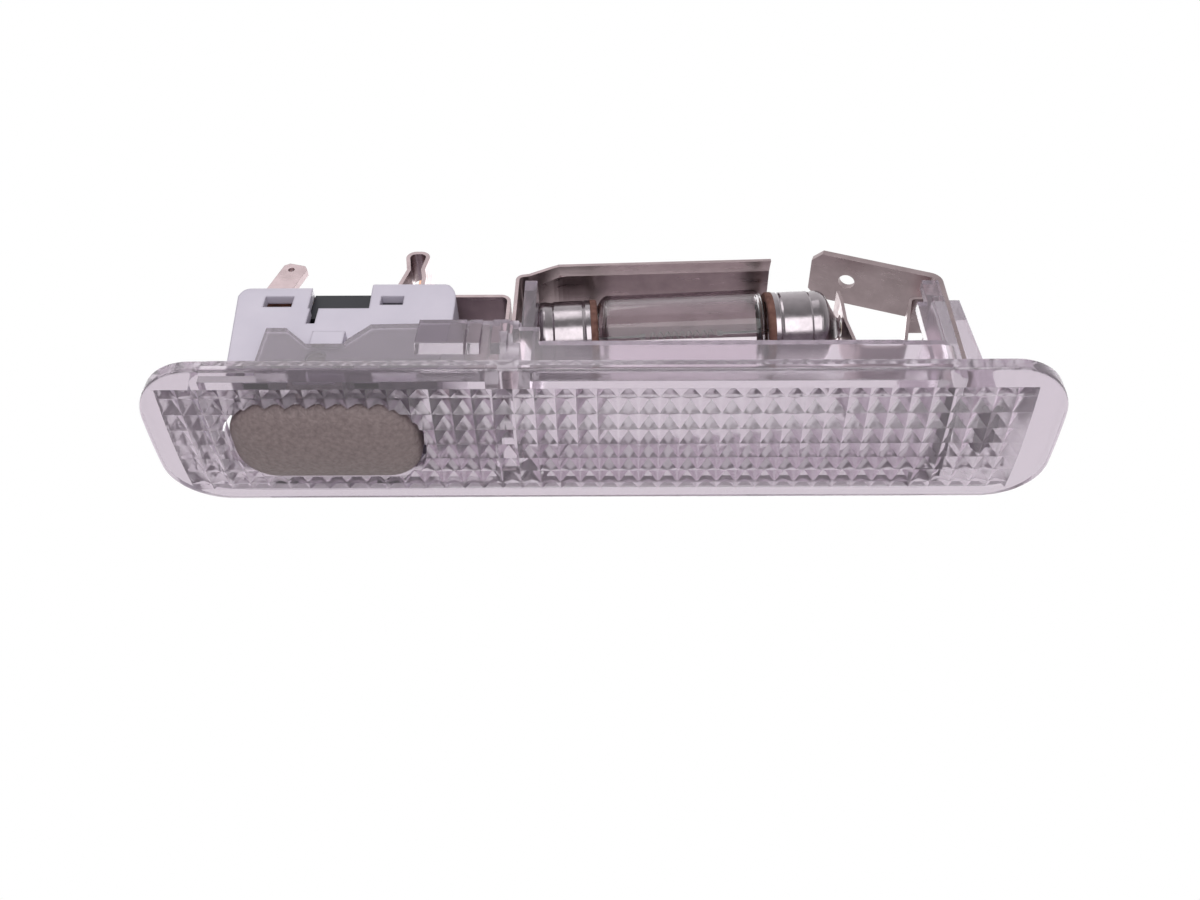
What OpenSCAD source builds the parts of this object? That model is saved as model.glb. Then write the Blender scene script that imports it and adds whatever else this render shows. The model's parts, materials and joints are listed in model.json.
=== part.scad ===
// Interior dome light of a car: a one-piece clear prismatic lens that carries a rocker
// switch, the folded sheet contacts and a festoon bulb.
// X runs along the lamp, the lens faces -Z, and the origin is the centre of the rim's
// back face, which seats on the roof trim.

/* [Lens] */
// Length of the lens over the rim
lens_length = 92.6; // [91:0.1:100]
// Width of the lens over the rim
lens_width = 18.9; // [18.4:0.1:24]
// Height of the rim's side at the long edges
rim_edge = 1.3; // [1:0.05:2]
// Radius of the front face across the lamp
crown_radius = 56; // [40:1:90]
// Plan radius of the lens corners
corner_radius = 4.5; // [2:0.1:7]
// Width of the softened edge round the front face
rim_softening = 0.35; // [0.2:0.05:0.6]
// Side of one prism
prism_pitch = 2.05; // [2:0.01:2.1]
// Height of one prism
prism_height = 0.95; // [0.4:0.05:1]
// Number of prisms along the lens
prism_columns = 43; // [41:1:44]
// Number of full prism rows between the walls
prism_rows = 6; // [6]

/* [Clear walls] */
// Thickness of the moulded walls
wall = 1.15; // [0.9:0.05:1.4]
// Height of the walls beside the bulb
bay_height = 4.1; // [3:0.1:5]
// Height of the ledge at the switch end
ledge_height = 1.3; // [1:0.1:1.8]
// Height of the wall pieces beside the switch
shield_height = 6.7; // [5.5:0.1:7]
// Height of the snap block
snap_height = 7.2; // [6.8:0.1:8]
// Reach of the snap barbs beyond the wall
snap_reach = 0.7; // [0.3:0.05:0.9]
// Gap between the rim and the barbs, for the roof trim
trim_gap = 1.8; // [1.8:0.1:2.5]
// Height of the guide post beside the bulb's left cap
post_height = 14.8; // [12:0.1:15.5]
// Height of the upright at the supply end
upright_height = 14.9; // [12:0.1:15.5]
// Height of the rib that backs the supply terminal
terminal_rib_height = 16.6; // [14:0.1:17.5]

/* [Rocker button] */
// Place of the button's middle along the lamp
button_x = -28.6; // [-28.8:0.1:-28.4]
// Length of the button
button_length = 19.6; // [18:0.1:19.8]
// Width of the button
button_width = 11.8; // [10:0.1:12]
// Plan radius of the button's corners
button_corner = 4.1; // [2.5:0.1:5]
// How far the button's crown stands out from the lens face
button_proud = 0.8; // [0.3:0.1:1.2]
// Gap along the lamp between the button and its opening
button_gap = 0.5; // [0.45:0.05:0.6]
// Height of the rocker's pivot above the seat plane
pivot_z = 2.5; // [2.3:0.1:2.8]
// Radius of the rocker's pivot pins
pivot_r = 1; // [0.7:0.05:1]
// Radial clearance of turning and sliding fits
running_gap = 0.05; // [0.03:0.01:0.08]

/* [Switch] */
// Height of the switch deck on which the slide runs
deck_z = 10.75; // [10.4:0.05:11]
// Thickness of the deck
deck_t = 1.2; // [1:0.05:1.3]
// Height of the contact slide
slide_height = 3.25; // [3.1:0.05:3.3]
// Travel of the slide to each side of the middle
slide_travel = 1.45; // [1.2:0.05:1.5]
// Wall thickness of the switch housing
housing_wall = 1; // [0.8:0.05:1.1]
// Gap between the switch housing and the lens walls
housing_gap = 0.12; // [0.08:0.01:0.2]

/* [Metal parts] */
// Thickness of the reflector sheet
sheet_t = 0.4; // [0.3:0.02:0.45]
// Thickness of the terminal blades
blade_t = 0.8; // [0.6:0.05:0.9]
// Width of the supply blade
supply_width = 6.3; // [5.5:0.1:6.5]
// Slope of the supply blade
supply_slope = 19.8; // [16:0.2:22]
// Width of the ground blade
ground_width = 2.8; // [2:0.1:3]
// Lean of the ground blade
ground_lean = 15.5; // [5:0.5:18]
// Height of the ground blade's tip
ground_top = 21.5; // [19:0.1:24]
// Height of the looped door terminal
door_top = 23.7; // [22:0.1:25]
// Width of the reflector's flat roof
roof_width = 7.6; // [6:0.1:8.5]
// Overall width of the reflector
reflector_width = 11.2; // [10:0.1:12]
// Height of the reflector above the middle of the bulb
reflector_rise = 6.3; // [5.9:0.1:8]

/* [Bulb] */
// Length of the festoon bulb
bulb_length = 36; // [35:0.1:36.5]
// Diameter of the bulb's caps
cap_d = 8.5; // [8:0.1:9]
// Length of each cap
cap_length = 8; // [7.5:0.1:8.5]
// Diameter of the glass
glass_d = 9.3; // [9.1:0.1:10]
// Place of the bulb's middle along the lamp
bulb_x = 8.3; // [8:0.1:8.6]
// Height of the bulb's middle
bulb_z = 14.4; // [14:0.1:15]
// Tilt of the bulb in its contacts
bulb_tilt = 3.6; // [0:0.2:4]

/* [Hidden] */
$fn = 48;

// Lens
crown_sag = crown_radius - sqrt(crown_radius ^ 2 - (lens_width / 2) ^ 2);
lens_depth = rim_edge + crown_sag;
field_x = prism_columns * prism_pitch / 2;
field_y = (prism_rows + 1) * prism_pitch / 2;
valley_z = -prism_height - 0.05;
root_z = valley_z - 0.15;
body_y = field_y + wall;

// Button and its opening
opening_x = button_length / 2 + button_gap;
opening_y = button_width / 2 + 0.3;
opening_corner = button_corner + 0.35;
collar = 0.8;
body_left = button_x - opening_x - collar - wall;
skirt_top = 0.2;
tip_z = deck_z + 1.85;
lever = tip_z - pivot_z;
tip_r = 1;

// Switch housing
housing_y = field_y - housing_gap;
housing_in = housing_y - housing_wall;
hub_y = housing_in - 0.1;
slide_bottom = deck_z + 0.1;
slide_top = slide_bottom + slide_height;
hump_left_top = slide_top + 0.8;
hump_right_top = slide_top + 1.4;
roof_left = slide_top + 0.15;
roof_right = slide_top + 0.65;
saddle_left = button_x - 2.4;
saddle_right = button_x + 4;
hump_left_end = button_x - 10.2;
hump_right_end = button_x + 12.9;
slide_y = housing_in - running_gap;
slide_left = button_x - 2.4;
slide_right = button_x + 8.6;
stub_left = slide_left - 0.6;
copper_t = 0.3;

// Bulb, its contacts and the sheet strip
half_run = bulb_length / 2 * cos(bulb_tilt);
tip_left_x = bulb_x - half_run;
tip_right_x = bulb_x + half_run;
tip_left_z = bulb_z - bulb_length / 2 * sin(bulb_tilt);
tip_right_z = bulb_z + bulb_length / 2 * sin(bulb_tilt);
tip_seat = 0.25;
tip_hole_r = 1.4;
leg_x = tip_left_x + tip_seat - sheet_t / 2;
hem_gap = 0.3;
bus_leg_x = leg_x - sheet_t - hem_gap;
bus_z = slide_top + 0.15 + sheet_t / 2;
cross_top = 5.9;
post_left = leg_x + sheet_t / 2 + 0.9;
spring_t = 0.35;
spring_x = tip_right_x - tip_seat + spring_t / 2;
rib_x = 37.85;
blade_leg_x = rib_x - 0.03 - blade_t / 2;
upright_x = 34.4;
supply_bend_z = 20.6;

// Points on an arc of centre c and radius r, from angle a to angle b
function arc(c, r, a, b, n = 8) =
    [for (i = [0:n]) c + r * [cos(a + (b - a) * i / n), sin(a + (b - a) * i / n)]];

function unit(v) = v / norm(v);
function left_of(d) = [-d.y, d.x];
function turn(d, e) = atan2(d.x * e.y - d.y * e.x, d.x * e.x + d.y * e.y);
function spin(v, a) = [v.x * cos(a) - v.y * sin(a), v.x * sin(a) + v.y * cos(a)];
function plan_of(p) = [p[0], p[1]];

// One side of a folded strip, at offset o from its middle line. Each inner point of the
// path is [x, z, bend radius].
function strip_side(path, o) = let (last = len(path) - 1) concat(
    [plan_of(path[0]) + o * left_of(unit(plan_of(path[1]) - plan_of(path[0])))],
    [for (i = [1:1:last - 1])
        let (
            p = plan_of(path[i]),
            d = unit(p - plan_of(path[i - 1])),
            e = unit(plan_of(path[i + 1]) - p),
            bend = turn(d, e),
            side = sign(bend),
            r = path[i][2],
            start = p - d * r * tan(abs(bend) / 2),
            centre = start + left_of(d) * r * side,
            steps = max(1, ceil(abs(bend) / 15))
        )
        for (k = [0:steps])
            centre - spin(left_of(d), bend * k / steps) * side * (r - side * o)],
    [plan_of(path[last]) + o * left_of(unit(plan_of(path[last]) - plan_of(path[last - 1])))]
);

function strip_outline(path, t) = let (
    a = strip_side(path, t / 2),
    b = strip_side(path, -t / 2)
) concat(a, [for (i = [len(b) - 1:-1:0]) b[i]]);

// A profile drawn in X and Z, swept from y0 to y1
module sweep(y0, y1) {
    translate([0, y1, 0]) rotate([90, 0, 0]) linear_extrude(y1 - y0) children();
}

module strip(path, t, y0, y1) {
    sweep(y0, y1) polygon(strip_outline(path, t));
}

module both_sides() {
    children();
    mirror([0, 1, 0]) children();
}

module rounded_plan(l, w, r) {
    square([l - 2 * r, w], center = true);
    square([l, w - 2 * r], center = true);
    for (x = [-1, 1], y = [-1, 1])
        translate([x * (l / 2 - r), y * (w / 2 - r)]) circle(r);
}

module rod_y(x, z, r, length) {
    translate([x, 0, z]) rotate([90, 0, 0]) cylinder(r = r, h = length, center = true);
}

// Lens, walls and posts in one clear moulding

module lens_plate() {
    intersection() {
        translate([0, 0, -lens_depth]) linear_extrude(lens_depth)
            rounded_plan(lens_length, lens_width, corner_radius);
        translate([0, 0, crown_radius - lens_depth]) rotate([0, 90, 0])
            cylinder(r = crown_radius, h = lens_length + 2, center = true, $fn = 180);
    }
}

// The hollow above the prisms: four sloping faces to each prism, half-deep rows by the walls
module prism_hollow() {
    p = prism_pitch;
    edge = field_y - 0.02;
    xs = [for (i = [0:prism_columns]) -field_x + i * p];
    ys = concat([-edge], [for (j = [0:prism_rows]) -field_y + p / 2 + j * p], [edge]);
    nx = len(xs);
    ny = len(ys);
    corners = [for (y = ys) for (x = xs) [x, y, valley_z]];
    tips = [for (j = [0:ny - 2]) for (i = [0:nx - 2])
        [xs[i] + p / 2, (ys[j] + ys[j + 1]) / 2, valley_z + prism_height]];
    top = [for (q = [[-1, -1], [1, -1], [1, 1], [-1, 1]]) [q.x * field_x, q.y * edge, 0.5]];
    c = nx * ny;
    t = c + (nx - 1) * (ny - 1);
    function corner(i, j) = j * nx + i;
    slopes = [for (j = [0:ny - 2]) for (i = [0:nx - 2])
        let (a = corner(i, j), b = corner(i + 1, j), d = corner(i + 1, j + 1),
             e = corner(i, j + 1), m = c + j * (nx - 1) + i)
        for (f = [[a, b, m], [b, d, m], [d, e, m], [e, a, m]]) f];
    near = [for (i = [nx - 1:-1:0]) corner(i, 0)];
    far = [for (i = [0:nx - 1]) corner(i, ny - 1)];
    right = [for (j = [ny - 1:-1:0]) corner(nx - 1, j)];
    left = [for (j = [0:ny - 1]) corner(0, j)];
    polyhedron(
        points = concat(corners, tips, top),
        faces = concat(slopes, [
            concat([t, t + 1], near),
            concat([t + 1, t + 2], right),
            concat([t + 2, t + 3], far),
            concat([t + 3, t], left),
            [t + 3, t + 2, t + 1, t]
        ])
    );
}

// Heights of the two long walls along the lamp
module wall_silhouette() {
    polygon([
        [body_left - 1, root_z - 1],
        [body_left - 1, ledge_height],
        [button_x - 5.6, ledge_height],
        [button_x - 5.5, shield_height - 0.5],
        [button_x - 3.5, shield_height - 0.5],
        [button_x - 1.1, bay_height - 0.3],
        [button_x + 2.7, bay_height - 0.3],
        [button_x + 2.9, bay_height + 0.3],
        [button_x + 5, shield_height],
        [snap_left, shield_height + 0.1],
        [snap_left, snap_height],
        [snap_right, snap_height],
        [snap_right, snap_height - 1],
        [snap_right + 2.1, snap_height - 1],
        [snap_right + 2.1, bay_height],
        [upright_x - 4.5, bay_height],
        [upright_x - 4.4, bay_height - 0.1],
        [upright_x + wall + 1, bay_height - 0.1],
        [upright_x + wall + 1, root_z - 1]
    ]);
}
snap_left = button_x + 9.9;
snap_right = post_left - 0.1;

module long_walls() {
    length = upright_x + wall - body_left;
    middle = (upright_x + wall + body_left) / 2;
    intersection() {
        translate([middle, 0, root_z]) linear_extrude(snap_height + 2) difference() {
            rounded_plan(length, 2 * body_y, 2.4);
            square([length - 2 * wall, 2 * field_y], center = true);
        }
        sweep(-body_y - 1, body_y + 1) wall_silhouette();
    }
}

// Barbs that snap behind the roof trim, cut by a slit and a notch
module snap_barbs() {
    foot = 1.2;
    for (span = [[0, 4.85], [5.15, 6.4], [7.5, 9.1]])
        both_sides() translate([snap_left + span[0], 0, 0]) rotate([90, 0, 90])
            linear_extrude(span[1] - span[0]) polygon([
                [body_y - 0.3, trim_gap],
                [body_y + snap_reach, trim_gap + foot],
                [body_y + snap_reach, trim_gap + foot + 0.6],
                [body_y + 0.15, snap_height],
                [body_y - 0.3, snap_height]
            ]);
}

// Cross wall under the strip's hem, with the ribs and posts that guide the strip
module strip_guides() {
    translate([leg_x - 1, -body_y + 0.2, root_z])
        cube([2, 2 * body_y - 0.4, cross_top - root_z]);
    both_sides() {
        translate([post_left, reflector_width / 2 - 1, root_z])
            cube([1.3, field_y + 0.2 - reflector_width / 2 + 1, post_height - root_z]);
        translate([leg_x + sheet_t / 2 + 0.1, reflector_width / 2 - 0.9, root_z])
            cube([1, field_y + 0.2 - reflector_width / 2 + 0.9, 8 - root_z]);
        translate([bus_leg_x - sheet_t / 2 - 1.1, reflector_width / 2 - 0.9, root_z])
            cube([1, field_y + 0.2 - reflector_width / 2 + 0.9, 8 - root_z]);
    }
}

// Cross wall, stepped uprights and tapered rib at the supply end
module supply_end() {
    translate([upright_x, -field_y - 0.2, root_z])
        cube([wall, 2 * field_y + 0.4, 12 - root_z]);
    both_sides() sweep(field_y - wall, field_y) polygon([
        [upright_x - 1.7, root_z],
        [upright_x - 1.7, upright_height - 3.6],
        [upright_x - 0.6, upright_height - 3.6],
        [upright_x - 0.6, upright_height],
        [upright_x + wall, upright_height],
        [upright_x + wall, root_z]
    ]);
    sweep(-3, 3) polygon([
        [rib_x, root_z],
        [rib_x, terminal_rib_height],
        [rib_x + wall, terminal_rib_height],
        [rib_x + 2.2, root_z]
    ]);
}

module lens_body() {
    color("gainsboro", 0.5) difference() {
        union() {
            difference() {
                lens_plate();
                prism_hollow();
            }
            translate([button_x, 0, -lens_depth + 0.9]) linear_extrude(lens_depth - 0.9)
                rounded_plan(2 * (opening_x + collar), 2 * (opening_y + collar),
                             opening_corner + collar);
            long_walls();
            snap_barbs();
            strip_guides();
            supply_end();
        }
        translate([button_x, 0, -lens_depth - 1]) linear_extrude(lens_depth + 2)
            rounded_plan(2 * opening_x, 2 * opening_y, opening_corner);
    }
}

// Rocker: soft cushion face, hub with pivot pins, and the finger that drives the slide

module cushion() {
    steps = [[skirt_top, 0], [-lens_depth + 1, 0], [-lens_depth + 0.4, 0.15],
             [-lens_depth - 0.1, 0.55], [-lens_depth - 0.45, 1.2],
             [-lens_depth - 0.68, 2.3], [-lens_depth - button_proud, 4]];
    hull() for (s = steps)
        translate([button_x, 0, s[0]]) linear_extrude(0.01) rounded_plan(
            button_length - 2 * s[1], button_width - 2 * s[1], max(button_corner - s[1], 1.2));
}

module rocker_button() {
    color("rosybrown") {
        difference() {
            cushion();
            translate([button_x, 0, -0.9]) linear_extrude(3)
                rounded_plan(button_length - 2.6, button_width - 2.6, button_corner - 1.3);
        }
        difference() {
            sweep(-hub_y, hub_y) polygon([
                [button_x - 3.2, -1.2],
                [button_x - 2, pivot_z + 1.4],
                [button_x + 2, pivot_z + 1.4],
                [button_x + 3.2, -1.2]
            ]);
            for (side = [-1, 1])
                translate([button_x, side * (2.3 + hub_y) / 2, 1.1])
                    cube([8, hub_y - 3.9, 4.4], center = true);
        }
        rod_y(button_x, pivot_z, pivot_r, 2 * (housing_in + 0.75 * housing_wall));
        sweep(-2, 2) polygon([
            [button_x - 1.6, pivot_z + 1],
            [button_x - 0.55, tip_z],
            [button_x + 0.55, tip_z],
            [button_x + 1.6, pivot_z + 1]
        ]);
        rod_y(button_x, tip_z, tip_r, 4);
    }
}

// Switch housing: two humps that bridge the slide, a saddle between them, a deck and feet

function soft_profile(half, bottom, top, r) = concat(
    [[-half, bottom]],
    arc([-half + r, top - r], r, 180, 90),
    arc([half - r, top - r], r, 90, 0),
    [[half, bottom]]
);

module hump(outline, top) {
    intersection() {
        sweep(-housing_y, housing_y) polygon(outline);
        translate([-60, 0, 0]) rotate([90, 0, 90]) linear_extrude(60)
            polygon(soft_profile(housing_y, 0, top, 1.3));
    }
}

module housing_shell() {
    hump(concat(
        [[hump_left_end + 1.3, skirt_top + 2]],
        arc([hump_left_end + 1.8, hump_left_top - 1.8], 1.8, 180, 90),
        arc([saddle_left - 0.6, hump_left_top - 0.5], 0.5, 90, 0, 3),
        [[saddle_left + 0.2, skirt_top + 2]]), hump_left_top);
    hump(concat(
        [[saddle_right + 0.3, skirt_top + 2]],
        arc([saddle_right + 0.4, hump_right_top - 0.6], 0.6, 180, 90, 4),
        arc([hump_right_end - 3, hump_right_top - 3], 3, 90, 0),
        [[hump_right_end, 4.5], [hump_right_end - 0.6, skirt_top + 2]]), hump_right_top);
    sweep(-housing_y, housing_y) polygon([
        [hump_left_end + 2, skirt_top + 2],
        [hump_left_end + 2, deck_z],
        [hump_right_end - 1, deck_z],
        [hump_right_end - 1, skirt_top + 2]
    ]);
}

// Lugs that sit in the dips of the lens walls, and feet that stand on the opening's collar
module housing_seats() {
    both_sides() {
        translate([button_x - 0.9, housing_y - 0.3, bay_height - 0.25])
            cube([3.3, body_y - housing_y - 0.1, 2.3]);
        for (x = [-6.6, 4.2])
            translate([button_x + x, opening_y + 0.15, 0.02])
                cube([2.4, housing_y - opening_y - 0.15, 3]);
        translate([button_x - 2.1, housing_in, pivot_z - pivot_r - 0.8])
            cube([4.2, housing_wall, 4]);
    }
}

module housing_hollows() {
    // Rocker space under the deck
    sweep(-housing_in, housing_in) polygon([
        [hump_left_end + 2.3, -1],
        [hump_left_end + 2.3, deck_z - deck_t],
        [hump_right_end - 1.1, deck_z - deck_t],
        [hump_right_end - 1.1, -1]
    ]);
    // Channel for the slide above the deck
    sweep(-housing_in, housing_in) polygon([
        [hump_left_end + 2.3, deck_z],
        [hump_left_end + 2.3, roof_left],
        [saddle_left + 1, roof_left],
        [saddle_left + 1, roof_left + 3],
        [saddle_right - 0.2, roof_left + 3],
        [saddle_right - 0.2, roof_right],
        [hump_right_end - 1.9, roof_right],
        [hump_right_end - 1.9, deck_z]
    ]);
    // Slots in the deck for the finger and for the slide's stub
    sweep(-2.3, 2.3) polygon([
        [button_x - 3, deck_z - deck_t - 1], [button_x - 3, deck_z + 1],
        [button_x + 3, deck_z + 1], [button_x + 3, deck_z - deck_t - 1]
    ]);
    translate([stub_left - copper_t - slide_travel - 0.4, -housing_in, deck_z - deck_t - 1])
        cube([1.4 + copper_t + 2 * slide_travel + 0.65, 2 * housing_in, deck_t + 2]);
    // Windows and the notch in the long walls
    both_sides() {
        translate([button_x - 7.2, housing_in - 1, deck_z + 0.25]) cube([3, 3, 1.7]);
        translate([button_x + 5, housing_in - 1, deck_z + 0.55]) cube([2.4, 3, 1.4]);
        translate([saddle_left + 0.2, housing_in - 1, deck_z - 2.4]) cube([0.9, 3, 4]);
    }
    // Bearings of the rocker
    rod_y(button_x, pivot_z, pivot_r + running_gap, 2 * housing_y + 1);
    // Detent trough with three notches
    translate([detent_x - slide_travel - 0.9, 2.4, deck_z - 0.3])
        cube([2 * slide_travel + 1.8, 2, 1]);
    for (k = [-1:1])
        translate([detent_x + k * slide_travel, 3.4, deck_z - 0.1]) rotate([90, 0, 0])
            cylinder(r = 0.5, h = 2, center = true);
    // Slots for the terminals and the strip
    ground_slot();
    translate([door_leg_x - 0.75, door_near - 0.05, roof_right - 1])
        cube([1.3, door_width + 0.1, 3]);
    translate([hump_right_end - 3.2, tongue_near - 0.1, bus_z - sheet_t / 2 - 0.05])
        cube([4, tongue_width + 0.2, sheet_t + 0.1]);
    translate([bus_end - 0.05, -reflector_width / 2 - 0.1, bus_z - sheet_t / 2 - 0.05])
        cube([3, reflector_width + 0.2, sheet_t + 0.1]);
}

module switch_housing() {
    color("white") difference() {
        union() {
            housing_shell();
            housing_seats();
        }
        housing_hollows();
    }
}

// Slide with a pocket for the finger, a stub at the ground end and a detent bore
detent_x = button_x + 6.4;
contact_y = 4.6;

module contact_slide() {
    color("darkslategray") difference() {
        union() {
            sweep(-slide_y, slide_y) polygon([
                [slide_left, slide_bottom],
                [slide_left, slide_top],
                [slide_right, slide_top],
                [slide_right, slide_bottom]
            ]);
            sweep(-slide_y, slide_y) polygon([
                [stub_left, slide_bottom - 0.55],
                [stub_left, slide_top - 1.4],
                [slide_left + 0.1, slide_top - 1.4],
                [slide_left + 0.7, slide_bottom - 0.55]
            ]);
        }
        // Pocket for the finger
        translate([button_x - tip_r - running_gap, -2.1, slide_bottom - 1])
            cube([2 * (tip_r + running_gap), 4.2, 3.9]);
        // Seat for the moving contact
        translate([slide_left - 1, -contact_y - 0.05, slide_top - copper_t])
            cube([slide_right - slide_left - 0.4, 2 * contact_y + 0.1, 1]);
        translate([stub_left - 0.1, -contact_y - 0.05, slide_top - 1.4])
            cube([slide_left - stub_left + 0.1 + 0.01, 2 * contact_y + 0.1, 2]);
        // Chamfers under the contact's bends
        for (corner = [[slide_left, slide_top - copper_t], [stub_left, slide_top - 1.4]])
            translate([corner.x, 0, corner.y]) rotate([0, 45, 0])
                cube([0.2, 2 * contact_y + 0.1, 0.2], center = true);
        // Detent bore
        translate([detent_x, 3.4, slide_bottom - 1])
            cylinder(r = 0.75 + running_gap, h = 3.6);
    }
}

module moving_contact() {
    copper = "peru";
    color(copper) {
        strip([
            [slide_right - 1.6, slide_top - copper_t / 2],
            [slide_left - copper_t / 2, slide_top - copper_t / 2, 0.3],
            [slide_left - copper_t / 2, slide_top - 1.4 + copper_t / 2, 0.3],
            [stub_left - copper_t / 2, slide_top - 1.4 + copper_t / 2, 0.3],
            [stub_left - copper_t / 2, slide_bottom - 1.2, 0.3],
            [slide_left + 0.5, slide_bottom - 1.2]
        ], copper_t, -contact_y, contact_y);
    }
}

module detent_plunger() {
    color("ivory") translate([detent_x, 3.4, slide_bottom - 0.35]) {
        translate([0, 0, 0.75]) sphere(r = 0.75);
        translate([0, 0, 0.75]) cylinder(r = 0.75, h = 0.65);
    }
}

// A wire of radius w wound n turns at radius r over a height h
module coil(r, w, n, h, steps = 16, sides = 6) {
    count = n * steps;
    rings = [for (i = [0:count]) let (a = 360 * i / steps, z = h * i / count)
        for (k = [0:sides - 1]) let (b = 360 * k / sides)
            [(r + w * cos(b)) * cos(a), (r + w * cos(b)) * sin(a), z + w * sin(b)]];
    walls = [for (i = [0:count - 1]) for (k = [0:sides - 1])
        let (a = i * sides + k, b = i * sides + (k + 1) % sides)
        [a, b, b + sides, a + sides]];
    polyhedron(
        points = rings,
        faces = concat(
            walls,
            [[for (k = [sides - 1:-1:0]) k]],
            [[for (k = [0:sides - 1]) count * sides + k]]
        )
    );
}

module detent_spring() {
    wire = 0.12;
    bottom = slide_bottom - 0.35 + 1.4 + wire + 0.02;
    color("silver") translate([detent_x, 3.4, bottom])
        coil(0.55, wire, 3, slide_bottom + 2.6 - bottom - wire - 0.05);
}

// Ground blade, which leans out of the housing, and its copper leaf
ground_x = button_x - 6.1;
ground_y = -4;
leaf_z = roof_left - 0.95;

module ground_blade(grow = 0) {
    length = (ground_top - leaf_z) / cos(ground_lean);
    translate([ground_x, ground_y, ground_top]) rotate([0, ground_lean, 0])
        translate([-ground_width / 2 - grow, -blade_t / 2 - grow, -length])
            cube([ground_width + 2 * grow, blade_t + 2 * grow, length]);
}

module ground_slot() {
    ground_blade(0.05);
}

module ground_terminal() {
    color("tan") difference() {
        ground_blade();
        translate([-60, ground_y - 2, leaf_z - 3]) cube([60, 4, 3 + 0.13]);
        translate([ground_x, ground_y, ground_top]) rotate([0, ground_lean, 0]) {
            translate([-0.3, 0, -1]) rotate([90, 0, 0]) cylinder(r = 0.35, h = 2, center = true);
            translate([ground_width / 2, 0, 0]) rotate([0, 45, 0])
                cube([0.7, 2, 0.7], center = true);
            translate([-ground_width / 2, 0, 0]) rotate([0, 45, 0])
                cube([0.7, 2, 0.7], center = true);
        }
    }
}

module ground_contact() {
    far = stub_left - copper_t - slide_travel - 0.05;
    color("peru") strip([
        [hump_left_end + 2.35, leaf_z],
        [far - 0.125, leaf_z, 0.4],
        [far - 0.125, slide_bottom - 0.6]
    ], 0.25, -slide_y + 0.3, -slide_y + 5);
}

// Looped door-switch terminal and the copper strip beside its leg
door_near = -4.5;
door_width = 3.8;
door_t = 0.45;
door_leg_x = button_x + 8.4;

module door_terminal() {
    roof = hump_right_top + door_t / 2 + 0.01;
    color("gray") strip([
        [door_leg_x - 4.3, roof],
        [door_leg_x - 3, roof, 0.5],
        [door_leg_x - 1.85, door_top - 3.3, 0.6],
        [door_leg_x - 2.35, door_top - door_t / 2, 0.85],
        [door_leg_x + 0.15, door_top - door_t / 2, 0.85],
        [door_leg_x - 0.3, door_top - 3.2, 0.6],
        [door_leg_x, door_top - 4.6, 0.5],
        [door_leg_x, roof_right]
    ], door_t, door_near, door_near + door_width);
}

module door_contact() {
    x = door_leg_x - door_t / 2 - copper_t / 2 - 0.01;
    z = roof_right - copper_t / 2 - 0.01;
    color("peru") {
        strip([
            [x, door_top - 4.8],
            [x, z, 0.4],
            [door_leg_x - 3.6, z]
        ], copper_t, door_near + 0.3, door_near + 3);
        translate([door_leg_x - 3, door_near + 1.65, slide_top + 0.05])
            cylinder(r = 0.5, h = z - slide_top);
    }
}

// Reflector: one folded strip that runs from the switch, down, through a hem, up past the
// bulb's left tip and over the bulb as a flanged roof
tongue_near = 0.7;
tongue_width = 3.8;
bus_end = hump_right_end - 0.6;
roof_left_x = bulb_x - 13.6;
roof_right_x = bulb_x + 10;
roof_slope = bulb_tilt * 0.6;
roof_z = bulb_z + reflector_rise;
roof_start_z = roof_z - (bulb_x - roof_left_x) * tan(roof_slope);

module reflector_roof() {
    drop = (reflector_width - roof_width) / 2 * tan(17);
    length = (roof_right_x - roof_left_x) / cos(roof_slope);
    translate([roof_left_x, 0, roof_start_z]) rotate([90, 0, 90])
        roof_section(length, drop);
}

module roof_section(length, drop) {
    t = sheet_t / 2;
    rotate([-roof_slope, 0, 0]) linear_extrude(length) polygon([
        [-reflector_width / 2, -drop - t],
        [-roof_width / 2, -t],
        [roof_width / 2, -t],
        [reflector_width / 2, -drop - t],
        [reflector_width / 2, -drop + t],
        [roof_width / 2, t],
        [-roof_width / 2, t],
        [-reflector_width / 2, -drop + t]
    ]);
}

module reflector() {
    w = reflector_width / 2;
    hem_z = cross_top + 0.05 + sheet_t / 2;
    hem_r = (leg_x - bus_leg_x) / 2;
    color("dimgray") difference() {
        union() {
            strip([
                [bus_end, bus_z],
                [bus_leg_x, bus_z, 0.9],
                [bus_leg_x, hem_z, hem_r],
                [leg_x, hem_z, hem_r],
                [leg_x, bulb_z + 3.4, 0.7],
                [roof_left_x - 3.2, roof_start_z - 2.2, 0.7],
                [roof_left_x, roof_start_z, 3],
                [roof_left_x + 2, roof_start_z + 2 * tan(roof_slope)]
            ], sheet_t, -roof_width / 2, roof_width / 2);
            both_sides() strip([
                [bus_end, bus_z],
                [bus_leg_x, bus_z, 0.9],
                [bus_leg_x, hem_z, hem_r],
                [leg_x, hem_z, hem_r],
                [leg_x, bulb_z + 3.4, 0.7],
                [roof_left_x - 3.2, roof_start_z - 2.2]
            ], sheet_t, roof_width / 2 - 0.01, w);
            reflector_roof();
            translate([bus_end - 6.5, tongue_near, bus_z - sheet_t / 2])
                cube([6.6, tongue_width, sheet_t]);
        }
        translate([leg_x, 0, tip_left_z]) rotate([0, 90, 0])
            cylinder(r = tip_hole_r, h = 3 * sheet_t, center = true);
    }
}

// Supply blade with its hole and cropped corners, bent down into the pocket
supply_tip_x = 23.9;

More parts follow.
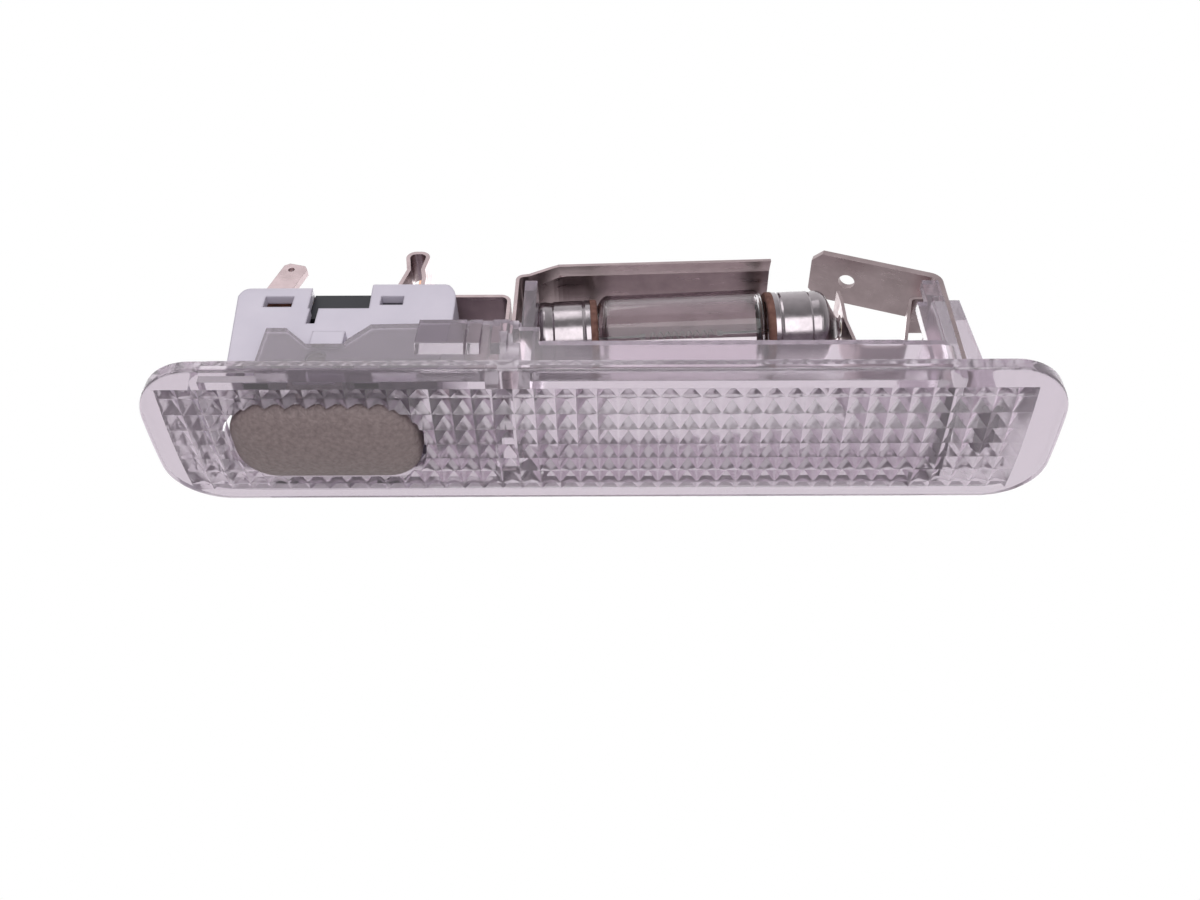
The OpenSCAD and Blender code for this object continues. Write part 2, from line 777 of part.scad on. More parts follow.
module supply_terminal() {
    run = blade_leg_x - supply_tip_x;
    w = supply_width / 2;
    tip = [supply_tip_x, supply_bend_z + run * tan(supply_slope)];
    hole = [28, supply_bend_z + (blade_leg_x - 28) * tan(supply_slope)];
    color("tan") difference() {
        strip([tip, [blade_leg_x, supply_bend_z, 1.2], [blade_leg_x, 4]], blade_t, -w, w);
        translate([hole.x, 0, hole.y]) rotate([0, supply_slope, 0])
            cylinder(r = 0.95, h = 4, center = true);
        both_sides() translate([tip.x, w, tip.y]) rotate([0, supply_slope, 0])
            rotate([0, 0, 45]) cube([1.6, 1.6, 4], center = true);
    }
}

// Leaf spring for the bulb's right tip, hooked over the cross wall beside the blade
module bulb_spring() {
    hook_x = blade_leg_x - blade_t / 2 - spring_t / 2 - 0.02;
    color("silver") difference() {
        strip([
            [spring_x - 0.2, tip_right_z + 3.4],
            [spring_x, tip_right_z + 1.6, 2],
            [spring_x, tip_right_z - 1.6, 2],
            [spring_x + 0.8, 8.9, 1],
            [upright_x - 2.6, 8.9, 1],
            [upright_x - 0.5, 17.6, 0.7],
            [hook_x, 17.6, 0.5],
            [hook_x, 6]
        ], spring_t, -2.5, 2.5);
        translate([spring_x, 0, tip_right_z]) rotate([0, 90, 0])
            cylinder(r = tip_hole_r, h = 3 * spring_t, center = true);
    }
}

// Festoon bulb, drawn along X about its middle
neck_r = cap_d / 2 - 0.65;
glass_end = bulb_length / 2 - cap_length;

module bulb_place() {
    translate([bulb_x, 0, bulb_z]) rotate([0, -bulb_tilt, 0]) children();
}

module about_x() {
    rotate([0, 90, 0]) rotate_extrude() children();
}

module bulb_glass() {
    r = glass_d / 2;
    t = 0.5;
    e = glass_end;
    color("white", 0.4) bulb_place() difference() {
        about_x() polygon(concat(
            [[0, -e - 2.4], [neck_r, -e - 2.4], [neck_r, -e + 0.85]],
            arc([r - 1, -e + 2.05], 1, -60, 0, 5),
            arc([r - 1, e - 2.05], 1, 0, 60, 5),
            [[neck_r, e - 0.85], [neck_r, e + 2.4], [0, e + 2.4]]
        ));
        about_x() polygon(concat(
            [[0, -e - 1.9], [neck_r - t, -e - 1.9], [neck_r - t, -e + 1.1]],
            arc([r - t - 0.9, -e + 2.25], 0.9, -60, 0, 5),
            arc([r - t - 0.9, e - 2.25], 0.9, 0, 60, 5),
            [[neck_r - t, e - 1.1], [neck_r - t, e + 1.9], [0, e + 1.9]]
        ));
        rotate([0, 90, 0]) cylinder(r = 0.15, h = bulb_length, center = true);
    }
}

module bulb_cap() {
    r = cap_d / 2;
    e = glass_end;
    tip = bulb_length / 2;
    t = 0.28;
    about_x() polygon(concat(
        [[r - t, e], [r, e], [r, e + 0.5], [r - 0.12, e + 0.7], [r, e + 0.9],
         [r, e + 3.9], [r - 0.12, e + 4.1]],
        arc([r - 1.3, tip - 3.1], 1.3, 0, 50, 5),
        [[1.25, tip - 0.7], [1.05, tip - 0.3], [0.6, tip - 0.3], [0.6, tip - 0.62],
         [1, tip - 0.85]],
        arc([r - 1.3, tip - 3.1], 1.3 - t, 50, 0, 5)
    ));
}

module bulb_cap_right() {
    color("silver") bulb_place() bulb_cap();
}

module bulb_cap_left() {
    color("silver") bulb_place() mirror([1, 0, 0]) bulb_cap();
}

module cement() {
    e = glass_end;
    r = cap_d / 2;
    about_x() polygon([
        [neck_r + 0.02, e - 0.8], [r - 0.1, e - 0.75], [r + 0.05, e - 0.6], [r + 0.05, e - 0.02],
        [r - 0.3, e - 0.02], [r - 0.3, e + 1.4], [neck_r + 0.02, e + 1.4]
    ]);
}

module bulb_cement_right() {
    color("saddlebrown") bulb_place() cement();
}

module bulb_cement_left() {
    color("saddlebrown") bulb_place() mirror([1, 0, 0]) cement();
}

module bulb_filament() {
    color("darkgray") bulb_place() translate([-3.6, 0, 0]) rotate([0, 90, 0])
        coil(0.4, 0.06, 9, 7.2, 10, 4);
}

module filament_lead() {
    rotate([0, 90, 0]) translate([0, 0, 4]) cylinder(r = 0.12, h = bulb_length / 2 - 4.7);
    translate([4, 0, 0]) rotate([0, 90, 0]) cylinder(r = 0.3, h = 0.6);
}

module filament_lead_right() {
    color("silver") bulb_place() filament_lead();
}

module filament_lead_left() {
    color("silver") bulb_place() mirror([1, 0, 0]) filament_lead();
}

module cap_solder() {
    tip = bulb_length / 2;
    about_x() polygon(concat(
        [[0, tip - 0.65], [0.58, tip - 0.65], [0.58, tip - 0.28], [0.95, tip - 0.28]],
        arc([0, tip - 1.9], 1.9, 60, 90, 4)
    ));
}

module cap_solder_right() {
    color("lightgray") bulb_place() cap_solder();
}

module cap_solder_left() {
    color("lightgray") bulb_place() mirror([1, 0, 0]) cap_solder();
}

lens_body();
rocker_button();
switch_housing();
contact_slide();
moving_contact();
detent_plunger();
detent_spring();
ground_terminal();
ground_contact();
door_terminal();
door_contact();
reflector();
supply_terminal();
bulb_spring();
bulb_glass();
bulb_cap_left();
bulb_cap_right();
bulb_cement_left();
bulb_cement_right();
bulb_filament();
filament_lead_left();
filament_lead_right();
cap_solder_left();
cap_solder_right();
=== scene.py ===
"""Looks of the car dome light: materials, soft studio light and the camera of the photo."""
import json
import math

import bmesh
import bpy
from mathutils import Matrix, Vector


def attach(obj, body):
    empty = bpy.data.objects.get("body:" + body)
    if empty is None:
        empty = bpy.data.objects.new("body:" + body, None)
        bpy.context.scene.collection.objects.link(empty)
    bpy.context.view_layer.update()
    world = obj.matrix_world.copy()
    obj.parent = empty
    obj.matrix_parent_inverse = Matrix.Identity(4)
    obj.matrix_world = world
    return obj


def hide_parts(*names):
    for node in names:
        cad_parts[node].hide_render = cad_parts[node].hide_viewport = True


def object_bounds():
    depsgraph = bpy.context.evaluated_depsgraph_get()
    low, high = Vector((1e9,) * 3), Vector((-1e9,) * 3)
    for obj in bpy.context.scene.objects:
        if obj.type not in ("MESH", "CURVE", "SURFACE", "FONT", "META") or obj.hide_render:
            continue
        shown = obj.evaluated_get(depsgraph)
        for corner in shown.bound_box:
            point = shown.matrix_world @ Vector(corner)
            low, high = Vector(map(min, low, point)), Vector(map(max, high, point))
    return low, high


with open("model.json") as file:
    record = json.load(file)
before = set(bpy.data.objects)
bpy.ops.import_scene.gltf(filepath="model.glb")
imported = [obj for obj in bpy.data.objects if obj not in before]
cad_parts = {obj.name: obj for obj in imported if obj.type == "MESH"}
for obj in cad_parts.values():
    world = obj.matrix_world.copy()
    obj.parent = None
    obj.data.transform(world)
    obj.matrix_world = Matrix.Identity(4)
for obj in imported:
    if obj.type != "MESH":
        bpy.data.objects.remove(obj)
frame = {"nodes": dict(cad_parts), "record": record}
cad_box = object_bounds()
nodes = frame["nodes"]
mm = 0.001


# Materials

def material(name):
    mat = bpy.data.materials.new(name)
    mat.use_nodes = True
    return mat, mat.node_tree, mat.node_tree.nodes["Principled BSDF"]


def object_coords(tree, scale=(1, 1, 1)):
    coords = tree.nodes.new("ShaderNodeTexCoord")
    mapping = tree.nodes.new("ShaderNodeMapping")
    mapping.inputs["Scale"].default_value = scale
    tree.links.new(coords.outputs["Object"], mapping.inputs["Vector"])
    return mapping.outputs["Vector"]


def noise(tree, vector, scale, detail=4.0, roughness=0.5):
    tex = tree.nodes.new("ShaderNodeTexNoise")
    tex.inputs["Scale"].default_value = scale
    tex.inputs["Detail"].default_value = detail
    tex.inputs["Roughness"].default_value = roughness
    tree.links.new(vector, tex.inputs["Vector"])
    return tex.outputs["Fac"]


def ramp(tree, value, low, high):
    """Colours or greys between low and high, each (position, colour)."""
    node = tree.nodes.new("ShaderNodeValToRGB")
    for element, (place, colour) in zip(node.color_ramp.elements, (low, high)):
        element.position = place
        element.color = (*colour, 1)
    tree.links.new(value, node.inputs["Fac"])
    return node.outputs["Color"]


def grey(value):
    return (value, value, value)


def bump(tree, bsdf, height, strength, distance, socket="Normal"):
    node = tree.nodes.new("ShaderNodeBump")
    node.inputs["Strength"].default_value = strength
    node.inputs["Distance"].default_value = distance
    tree.links.new(height, node.inputs["Height"])
    tree.links.new(node.outputs["Normal"], bsdf.inputs[socket])
    return node


def soft_edges(tree, bump_node, radius):
    edge = tree.nodes.new("ShaderNodeBevel")
    edge.samples = 4
    edge.inputs["Radius"].default_value = radius
    tree.links.new(edge.outputs["Normal"], bump_node.inputs["Normal"])


def clear_plastic():
    mat, tree, bsdf = material("clear_lens")
    bsdf.inputs["Base Color"].default_value = (0.735, 0.65, 0.73, 1)
    bsdf.inputs["Transmission Weight"].default_value = 0.86
    bsdf.inputs["IOR"].default_value = 1.49
    where = object_coords(tree)
    smear = noise(tree, where, 900, 3)
    rough = ramp(tree, smear, (0.35, grey(0.06)), (0.75, grey(0.14)))
    tree.links.new(rough, bsdf.inputs["Roughness"])
    return mat


def soft_touch():
    mat, tree, bsdf = material("soft_touch")
    where = object_coords(tree)
    cells = tree.nodes.new("ShaderNodeTexVoronoi")
    cells.feature = "DISTANCE_TO_EDGE"
    cells.inputs["Scale"].default_value = 1500
    tree.links.new(where, cells.inputs["Vector"])
    tone = noise(tree, where, 2200, 4)
    colour = ramp(tree, tone, (0.3, (0.20, 0.150, 0.152)), (0.75, (0.30, 0.232, 0.232)))
    tree.links.new(colour, bsdf.inputs["Base Color"])
    bsdf.inputs["Roughness"].default_value = 0.55
    grain = ramp(tree, cells.outputs["Distance"], (0.0, grey(0)), (0.22, grey(1)))
    bump(tree, bsdf, grain, 0.8, 0.05 * mm)
    return mat


def nylon(name, low, high, rough, edge):
    mat, tree, bsdf = material(name)
    where = object_coords(tree)
    tone = noise(tree, where, 260, 3)
    tree.links.new(ramp(tree, tone, (0.3, low), (0.7, high)), bsdf.inputs["Base Color"])
    bsdf.inputs["Roughness"].default_value = rough
    fine = noise(tree, where, 3500, 2)
    soft_edges(tree, bump(tree, bsdf, fine, 0.12, 0.01 * mm), edge)
    return mat


def metal(name, low, high, rough_low, rough_high, stretch=(1, 1, 1), marks=0.12, edge=0.05 * mm):
    mat, tree, bsdf = material(name)
    bsdf.inputs["Metallic"].default_value = 1
    where = object_coords(tree)
    cloud = noise(tree, where, 420, 5, 0.6)
    tree.links.new(ramp(tree, cloud, (0.3, low), (0.72, high)), bsdf.inputs["Base Color"])
    lines = noise(tree, object_coords(tree, stretch), 1400, 4, 0.6)
    rough = ramp(tree, lines, (0.3, grey(rough_low)), (0.75, grey(rough_high)))
    tree.links.new(rough, bsdf.inputs["Roughness"])
    soft_edges(tree, bump(tree, bsdf, lines, marks, 0.01 * mm), edge)
    return mat


def bulb_glass():
    mat, tree, bsdf = material("bulb_glass")
    bsdf.inputs["Base Color"].default_value = (0.95, 0.905, 0.935, 1)
    bsdf.inputs["Transmission Weight"].default_value = 1
    bsdf.inputs["IOR"].default_value = 1.5
    where = object_coords(tree)
    haze = noise(tree, where, 300, 2)
    rough = ramp(tree, haze, (0.4, grey(0.0)), (0.8, grey(0.03)))
    tree.links.new(rough, bsdf.inputs["Roughness"])
    return mat


def cement():
    mat, tree, bsdf = material("cap_cement")
    where = object_coords(tree)
    tone = noise(tree, where, 1600, 5)
    colour = ramp(tree, tone, (0.3, (0.10, 0.04, 0.032)), (0.7, (0.20, 0.095, 0.075)))
    tree.links.new(colour, bsdf.inputs["Base Color"])
    bsdf.inputs["Roughness"].default_value = 0.85
    bump(tree, bsdf, tone, 0.4, 0.05 * mm)
    return mat


# Rolled sheet has its marks drawn out along the lamp
rolled = (0.08, 1, 1)
finishes = {
    "clear_lens": clear_plastic(),
    "soft_touch": soft_touch(),
    "white_nylon": nylon("white_nylon", (0.555, 0.510, 0.605), (0.605, 0.555, 0.65),
                         0.38, 0.3 * mm),
    "dark_plastic": nylon("dark_plastic", (0.006, 0.006, 0.012), (0.011, 0.011, 0.019),
                          0.55, 0.08 * mm),
    "plated_sheet": metal("plated_sheet", (0.36, 0.285, 0.295), (0.47, 0.375, 0.39),
                          0.24, 0.42, rolled),
    "copper_strip": metal("copper_strip", (0.72, 0.40, 0.28), (0.86, 0.52, 0.38),
                          0.2, 0.36, rolled),
    "spring_wire": metal("spring_wire", (0.5, 0.5, 0.5), (0.62, 0.62, 0.62), 0.2, 0.3),
    "bulb_cap": metal("bulb_cap", (0.33, 0.295, 0.315), (0.44, 0.395, 0.42),
                      0.14, 0.28, marks=0.08),
    "filament_wire": metal("filament_wire", (0.3, 0.3, 0.3), (0.42, 0.42, 0.42), 0.3, 0.45),
    "solder": metal("solder", (0.60, 0.52, 0.36), (0.72, 0.65, 0.5), 0.3, 0.5, marks=0.3),
    "bulb_glass": bulb_glass(),
    "cap_cement": cement(),
}
for part in frame["record"]["subparts"]:
    mesh = nodes[part["node"]].data
    mesh.materials.clear()
    mesh.materials.append(finishes[part["material_slot"]])


# Pieces that stand for nodes of the frame, drawn in millimetres

def piece_from(name, points, faces):
    mesh = bpy.data.meshes.new(name)
    mesh.from_pydata(points, [], faces)
    mesh.validate()
    thing = bpy.data.objects.new(name, mesh)
    bpy.context.scene.collection.objects.link(thing)
    return thing


def copy_of(node, name):
    thing = bpy.data.objects.new(name, nodes[node].data.copy())
    bpy.context.scene.collection.objects.link(thing)
    shape = bmesh.new()
    shape.from_mesh(thing.data)
    bmesh.ops.scale(shape, vec=(1 / mm, 1 / mm, 1 / mm), verts=shape.verts)
    bmesh.ops.remove_doubles(shape, verts=shape.verts, dist=1e-4)
    shape.to_mesh(thing.data)
    shape.free()
    return thing


def combine(thing, other, operation):
    """One exact boolean step, which uses up the other object."""
    step = thing.modifiers.new("step", "BOOLEAN")
    step.solver = "EXACT"
    step.operation = operation
    step.object = other
    bpy.context.view_layer.update()
    graph = bpy.context.evaluated_depsgraph_get()
    mesh = bpy.data.meshes.new_from_object(thing.evaluated_get(graph))
    thing.modifiers.clear()
    thing.data = mesh
    bpy.data.objects.remove(other)


def face_outward(thing):
    shape = bmesh.new()
    shape.from_mesh(thing.data)
    bmesh.ops.recalc_face_normals(shape, faces=shape.faces)
    shape.to_mesh(thing.data)
    shape.free()
    return thing


def closed_form(name, points, count):
    """A solid between two outlines of the same number of points."""
    faces = [(i, (i + 1) % count, count + (i + 1) % count, count + i) for i in range(count)]
    faces += [tuple(range(count - 1, -1, -1)), tuple(range(count, 2 * count))]
    return face_outward(piece_from(name, points, faces))


def prism(name, profile, start, end, axis):
    """A closed profile swept along one axis.
    Its points are (x, y) for the z axis, (y, z) for x and (x, z) for y."""
    def place(point, at):
        u, v = point
        return {"x": (at, u, v), "y": (u, at, v), "z": (u, v, at)}[axis]

    points = [place(p, start) for p in profile] + [place(p, end) for p in profile]
    return closed_form(name, points, len(profile))


# Steps of a plan along its long sides, across its ends and round each corner
plan_along, plan_across, plan_corner = 24, 6, 14
least_radius = 0.6


def plan(length, width, radius):
    """Points round a rounded rectangle, from the middle of its left end by the near side."""
    left, right = -length / 2, length / 2
    near, far = -width / 2, width / 2
    half_x, half_y = length / 2 - radius, width / 2 - radius
    points = []

    def line(a, b, count):
        points.extend((a[0] + (b[0] - a[0]) * i / count, a[1] + (b[1] - a[1]) * i / count)
                      for i in range(count))

    def turn(x, y, start):
        for i in range(plan_corner):
            angle = math.radians(start + 90 * i / plan_corner)
            points.append((x + radius * math.cos(angle), y + radius * math.sin(angle)))

    line((left, 0), (left, -half_y), plan_across // 2)
    turn(-half_x, -half_y, 180)
    line((-half_x, near), (half_x, near), plan_along)
    turn(half_x, -half_y, 270)
    line((right, -half_y), (right, half_y), plan_across)
    turn(half_x, half_y, 0)
    line((half_x, far), (-half_x, far), plan_along)
    turn(-half_x, half_y, 90)
    line((left, half_y), (left, 0), plan_across // 2)
    return points


def dished(name, centre_x, length, width, radius, rings, height):
    """A closed form of rounded rectangles, each (inset, z), closed by strips across its last one.
    height(y) is added to every z that isn't above 0."""
    outlines = []
    for inset, z in rings:
        outline = plan(length - 2 * inset, width - 2 * inset, max(radius - inset, least_radius))
        outlines.append([(centre_x + x, y, z if z > 0 else z + height(y)) for x, y in outline])
    count = len(outlines[0])
    points = [point for outline in outlines for point in outline]
    faces = [tuple(range(count))]
    for k in range(len(outlines) - 1):
        for i in range(count):
            j = (i + 1) % count
            faces.append((k * count + i, (k + 1) * count + i, (k + 1) * count + j, k * count + j))
    last = (len(outlines) - 1) * count
    left_end = plan_across // 2 + plan_corner
    right_end = left_end + plan_along
    left = [last + i for i in range(left_end, -1, -1)]
    left += [last + i for i in range(count - 1, count - left_end - 1, -1)]
    right = [last + i for i in range(right_end, right_end + len(left))]
    near_side = tuple(range(last + left_end + 1, last + right_end))
    faces.append((left[0],) + near_side + (right[0], right[1], left[1]))
    for k in range(1, len(left) - 2):
        faces.append((left[k], right[k], right[k + 1], left[k + 1]))
    faces.append((left[-2], right[-2]) + tuple(range(right[-1], left[-1] + 1)))
    return face_outward(piece_from(name, points, faces))


def dress(thing, body, slot_name, stands_for, sharp=25):
    """Back to metres, with its finish, its shading and the body it rides on."""
    mesh = thing.data
    mesh.transform(Matrix.Scale(mm, 4))
    if mesh.has_custom_normals:
        mesh.attributes.remove(mesh.attributes["custom_normal"])
    mesh.materials.clear()
    mesh.materials.append(finishes[slot_name])
    mesh.polygons.foreach_set("material_index", [0] * len(mesh.polygons))
    mesh.polygons.foreach_set("use_smooth", [True] * len(mesh.polygons))
    mesh.set_sharp_from_angle(angle=math.radians(sharp))
    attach(thing, body)
    if stands_for:
        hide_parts(stands_for)


# Lens: the node's walls on a plate with a soft rim and pyramid hollows in its front face
lens_length, lens_width, lens_corner = 91.9, 18.9, 6
crown, rim_side, seat_z = 56, 1.3, 0.02
edge_radius, edge_steps, edge_proud = 0.4, 5, 0.0002
face_insets = (1.0, 1.6, 2.2)
field_start, columns, pitch = -43.7, 42, 2.05
field_near, field_far = -7.2, 7.5
first_row, row_lines, row_pitch = -6.15, 7, 2.1
hollow, ridge = 0.95, 0.03
apron, apron_z = 0.7, -0.02
opening_x, opening_y = -28.4, 0.55
opening_length, opening_width, opening_corner = 20.2, 10.7, 4.3
far_x, far_y = 60, 20
cut_low, cut_high, wall_foot = -5, 1, 0.01
lens_depth = rim_side + crown - math.sqrt(crown ** 2 - (lens_width / 2) ** 2)


def face_z(y):
    """Height of the crowned front face."""
    return crown - lens_depth - math.sqrt(crown ** 2 - y ** 2)


def soft_edge():
    """Insets and heights round the front edge, from the plate's side to its face."""
    rings = []
    for i in range(edge_steps + 1):
        angle = math.radians(90 * i / edge_steps)
        rings.append((edge_radius * (1 - math.cos(angle)),
                      -edge_radius * math.sin(angle) - edge_proud))
    return rings


lens = dished("clear_lens", 0, lens_length, lens_width, lens_corner,
              [(0, seat_z)] + soft_edge() + [(inset, -edge_radius) for inset in face_insets],
              lambda y: face_z(y) + edge_radius)


def relief():
    """A block under the face whose top has a ridge round each cell and a point up into it."""
    below = -4
    xs = [field_start + i * pitch for i in range(columns + 1)]
    xs = [xs[0] - apron] + xs + [xs[-1] + apron]
    ys = [field_near] + [first_row + j * row_pitch for j in range(row_lines)] + [field_far]
    nx, ny = len(xs), len(ys)
    lifts = [apron_z] + [ridge] * (nx - 2) + [apron_z]
    points = [(x, y, face_z(y) + lift) for y in ys for x, lift in zip(xs, lifts)]
    faces = []
    for j in range(ny - 1):
        for i in range(nx - 1):
            a, b = j * nx + i, j * nx + i + 1
            d, e = b + nx, a + nx
            if i in (0, nx - 2):
                faces.append((a, b, d, e))
                continue
            y = (ys[j] + ys[j + 1]) / 2
            points.append((xs[i] + pitch / 2, y, face_z(y) + ridge + hollow))
            tip = len(points) - 1
            faces += [(a, b, tip), (b, d, tip), (d, e, tip), (e, a, tip)]
    base = len(points)
    points += [(xs[0], ys[0], below), (xs[-1], ys[0], below),
               (xs[-1], ys[-1], below), (xs[0], ys[-1], below)]
    faces.append(tuple([base + 1, base] + list(range(nx))))
    faces.append(tuple([base + 2, base + 1] + [j * nx + nx - 1 for j in range(ny)]))
    faces.append(tuple([base + 3, base + 2] + [(ny - 1) * nx + i for i in range(nx - 1, -1, -1)]))
    faces.append(tuple([base, base + 3] + [j * nx for j in range(ny - 1, -1, -1)]))
    faces.append((base, base + 1, base + 2, base + 3))
    return face_outward(piece_from("relief", points, faces))


combine(lens, relief(), "DIFFERENCE")
opening = [(opening_x + x, opening_y + y)
           for x, y in plan(opening_length, opening_width, opening_corner)]
combine(lens, prism("opening", opening, cut_low, cut_high, "z"), "DIFFERENCE")
walls = copy_of("lens_body", "walls")
all_over = [(-far_x, -far_y), (far_x, -far_y), (far_x, far_y), (-far_x, far_y)]
combine(walls, prism("below", all_over, cut_low, wall_foot, "z"), "DIFFERENCE")
combine(lens, walls, "UNION")
dress(lens, "lamp", "clear_lens", "lens_body", 20)

# Rocker: a pillowed face, narrower than its opening, on the node's hub and finger
hub_x, hub_reach = -28.6, 4
cushion_length, cushion_width, cushion_corner = 19.2, 10.1, 4.0
pillow = [(0, 0.2), (0, -0.9), (0.03, -1.15), (0.12, -1.4), (0.28, -1.62), (0.5, -1.82),
          (0.8, -2.02), (1.2, -2.21), (1.7, -2.39), (2.3, -2.56), (3.0, -2.71), (3.7, -2.83),
          (4.3, -2.9)]
cushion = dished("rocker_cushion", opening_x, cushion_length, cushion_width, cushion_corner,
                 pillow, lambda y: 0)
cushion.data.transform(Matrix.Translation((0, opening_y, 0)))
dress(cushion, "rocker", "soft_touch", "rocker_button", 40)
# The hub is kept above the cushion, and its middle block reaches down into it
above_cushion = [(-7, 0.6), (-3.05, 0.6), (-3.05, -0.5), (3.05, -0.5), (3.05, 0.6), (7, 0.6),
                 (7, 20), (-7, 20)]
hub = copy_of("rocker_button", "rocker_hub")
combine(hub, prism("keep", above_cushion, hub_x - hub_reach, hub_x + hub_reach, "x"), "INTERSECT")
dress(hub, "rocker", "soft_touch", "rocker_button")


# Switch housing: the node's moulding with its humps' top corners rounded further

def corner(x, z, radius_x, radius_z, start, steps=8):
    """A quarter turn, clockwise from the start angle in degrees."""
    angles = [math.radians(start - 90 * i / steps) for i in range(steps + 1)]
    return [(x + radius_x * math.cos(a), z + radius_z * math.sin(a)) for a in angles]


hump_left = corner(-36.2, 12.3, 2.6, 2.6, 180) + corner(-32.1, 13.9, 1, 1, 90)
saddle = [(-31.05, 13.5), (-24.85, 13.5)]
hump_right = corner(-23.8, 14.5, 1, 1, 180) + corner(-18.85, 12.2, 3.12, 3.3, 90)
outline = [(-50, -5), (-50, 12.3)] + hump_left + saddle + hump_right
outline += [(-15.6, 7), (-10, 7), (-10, -5)]
past_sides = 12
housing = copy_of("switch_housing", "housing_shell")
combine(housing, prism("outline", outline, -past_sides, past_sides, "y"), "INTERSECT")
dress(housing, "lamp", "white_nylon", "switch_housing")

# Reflector: the bent strips beside its neck, which join the leg's top to the roof's flanges
neck_side, roof_side = 3.75, 5.6
inner = [(-8.6, 17.8), (-8.26, 17.91), (-5.9, 19.53), (-5.2, 19.94),
         (-5.2, 20.33), (-6.13, 19.86), (-8.49, 18.2), (-8.6, 18.18)]
outer = [(-8.6, 17.8), (-8.26, 17.86), (-5.9, 19.1), (-5.2, 19.44),
         (-5.2, 19.84), (-6.13, 19.42), (-8.49, 18.18), (-8.6, 18.18)]
for name, side in (("reflector_strip_near", -1), ("reflector_strip_far", 1)):
    points = [(x, side * neck_side, z) for x, z in inner]
    points += [(x, side * roof_side, z) for x, z in outer]
    strip = closed_form(name, points, len(inner))
    dress(strip, "lamp", "plated_sheet", None)

# Floor: seen from above only, so that the camera below it looks straight through
floor_gap, reach = 0.3 * mm, 2.0
floor_z = cad_box[0].z - floor_gap
mesh = bpy.data.meshes.new("floor")
mesh.from_pydata([(-reach, -reach, floor_z), (reach, -reach, floor_z),
                  (reach, reach, floor_z), (-reach, reach, floor_z)], [], [(0, 1, 2, 3)])
floor = bpy.data.objects.new("floor", mesh)
bpy.context.scene.collection.objects.link(floor)
mat, tree, bsdf = material("floor")
bsdf.inputs["Base Color"].default_value = (0.86, 0.86, 0.86, 1)
bsdf.inputs["Roughness"].default_value = 0.9
bsdf.inputs["Specular IOR Level"].default_value = 0
geometry = tree.nodes.new("ShaderNodeNewGeometry")
clear = tree.nodes.new("ShaderNodeBsdfTransparent")
mix = tree.nodes.new("ShaderNodeMixShader")
tree.links.new(geometry.outputs["Backfacing"], mix.inputs["Fac"])
tree.links.new(bsdf.outputs["BSDF"], mix.inputs[1])
tree.links.new(clear.outputs["BSDF"], mix.inputs[2])
tree.links.new(mix.outputs["Shader"], tree.nodes["Material Output"].inputs["Surface"])
mesh.materials.append(mat)
floor.visible_diffuse = False
floor.visible_glossy = False
floor.visible_transmission = False
floor.visible_shadow = False

# World: white behind the object, softer as a light
world = bpy.data.worlds.new("studio")
bpy.context.scene.world = world
world.use_nodes = True
tree = world.node_tree
background = tree.nodes["Background"]
background.inputs["Color"].default_value = (1, 1, 1, 1)
path = tree.nodes.new("ShaderNodeLightPath")
seen = tree.nodes.new("ShaderNodeMath")
seen.operation = "MAXIMUM"
tree.links.new(path.outputs["Is Camera Ray"], seen.inputs[0])
tree.links.new(path.outputs["Is Glossy Ray"], seen.inputs[1])
seen_too = tree.nodes.new("ShaderNodeMath")
seen_too.operation = "MAXIMUM"
tree.links.new(seen.outputs[0], seen_too.inputs[0])
tree.links.new(path.outputs["Is Transmission Ray"], seen_too.inputs[1])
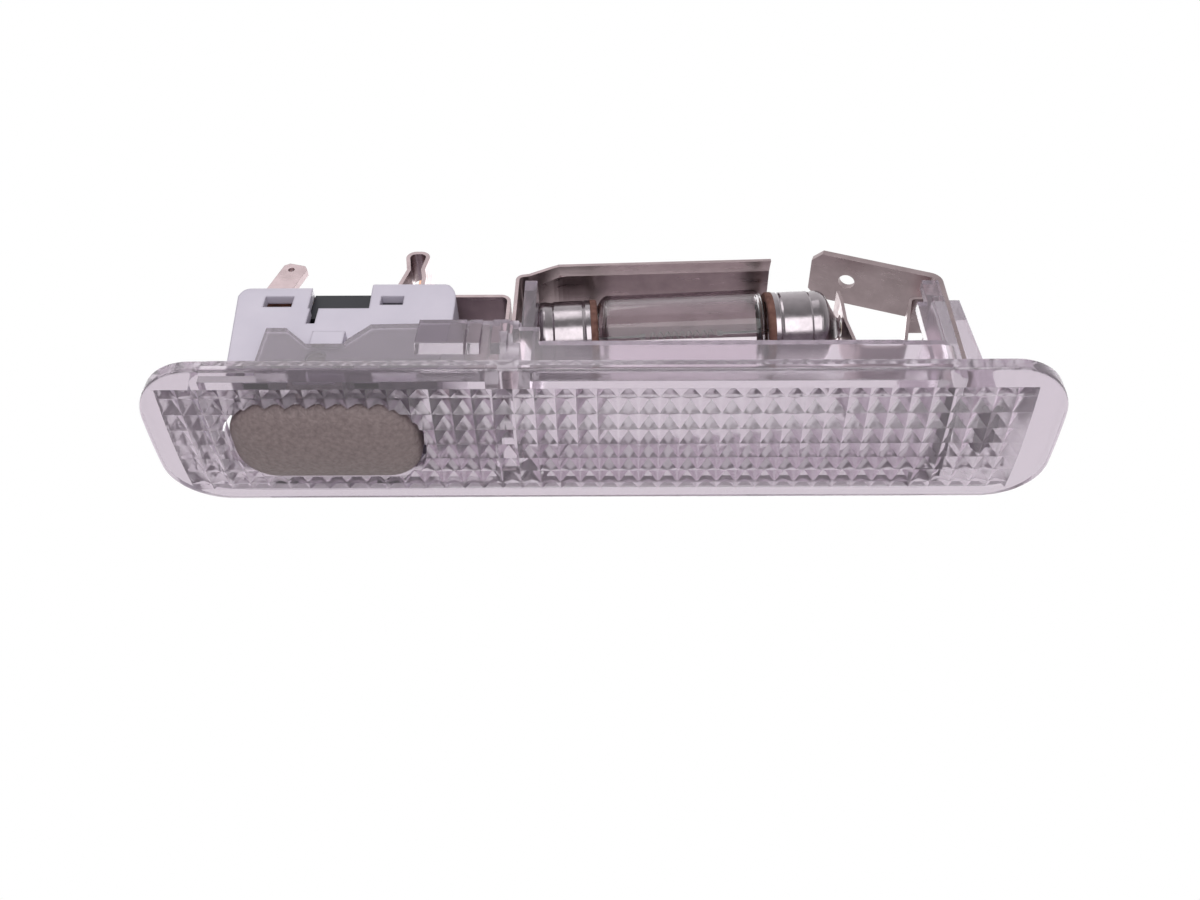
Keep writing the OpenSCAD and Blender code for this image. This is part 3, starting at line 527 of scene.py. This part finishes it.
# Mirrored in the object, the world is darker away from the direction behind it
where = tree.nodes.new("ShaderNodeTexCoord")
behind = tree.nodes.new("ShaderNodeVectorMath")
behind.operation = "DOT_PRODUCT"
behind.inputs[1].default_value = (0, 0.72, 0.69)
tree.links.new(where.outputs["Generated"], behind.inputs[0])
mirrored = tree.nodes.new("ShaderNodeMapRange")
mirrored.inputs["From Min"].default_value = -0.7
mirrored.inputs["From Max"].default_value = 0.6
mirrored.inputs["To Min"].default_value = 0.3
mirrored.inputs["To Max"].default_value = 1.0
tree.links.new(behind.outputs["Value"], mirrored.inputs["Value"])
straight = tree.nodes.new("ShaderNodeMath")
straight.operation = "MAXIMUM"
tree.links.new(path.outputs["Is Camera Ray"], straight.inputs[0])
tree.links.new(mirrored.outputs["Result"], straight.inputs[1])
strength = tree.nodes.new("ShaderNodeMix")
strength.inputs["A"].default_value = 0.5
tree.links.new(seen_too.outputs[0], strength.inputs["Factor"])
tree.links.new(straight.outputs[0], strength.inputs["B"])
tree.links.new(strength.outputs["Result"], background.inputs["Strength"])


def lamp(name, place, aim, width, height, power):
    light = bpy.data.lights.new(name, "AREA")
    light.shape = "RECTANGLE"
    light.size, light.size_y = width, height
    light.energy = power
    thing = bpy.data.objects.new(name, light)
    thing.location = place
    thing.rotation_euler = (Vector(aim) - Vector(place)).to_track_quat("-Z", "Y").to_euler()
    thing.visible_transmission = False
    bpy.context.scene.collection.objects.link(thing)


lamp("key", (-0.10, -0.22, 0.16), (0, 0, 0.01), 0.22, 0.16, 0.18)
lamp("fill", (0.03, -0.23, -0.13), (0, 0, 0.0), 0.20, 0.20, 0.31)
lamp("back", (0.05, 0.22, 0.20), (0, 0, 0.01), 0.25, 0.2, 0.3)

# Camera of the photo: 43 degrees below the lamp's rim plane, upright in the picture
picture, focal, shift = 1200, 1150, -28
sensor = 36.0
camera_place = Vector((2.36 * mm, -84.71 * mm, -82.04 * mm))
view_dir = Vector((0, 0.7314, 0.682)).normalized()
upright = Vector((0, -view_dir.z, view_dir.y))
roll = math.radians(0.2)
view_up = upright * math.cos(roll) + view_dir.cross(upright) * math.sin(roll)
view_right = view_dir.cross(view_up)
lens_data = bpy.data.cameras.new("camera")
lens_data.sensor_width = sensor
lens_data.lens = focal / picture * sensor
lens_data.shift_x = shift / picture
lens_data.clip_start = 0.005
lens_data.clip_end = 10
camera = bpy.data.objects.new("camera", lens_data)
camera.matrix_world = Matrix((
    (view_right.x, view_up.x, -view_dir.x, camera_place.x),
    (view_right.y, view_up.y, -view_dir.y, camera_place.y),
    (view_right.z, view_up.z, -view_dir.z, camera_place.z),
    (0, 0, 0, 1),
))
bpy.context.scene.collection.objects.link(camera)
bpy.context.scene.camera = camera

bpy.context.scene.view_settings.view_transform = "Standard"
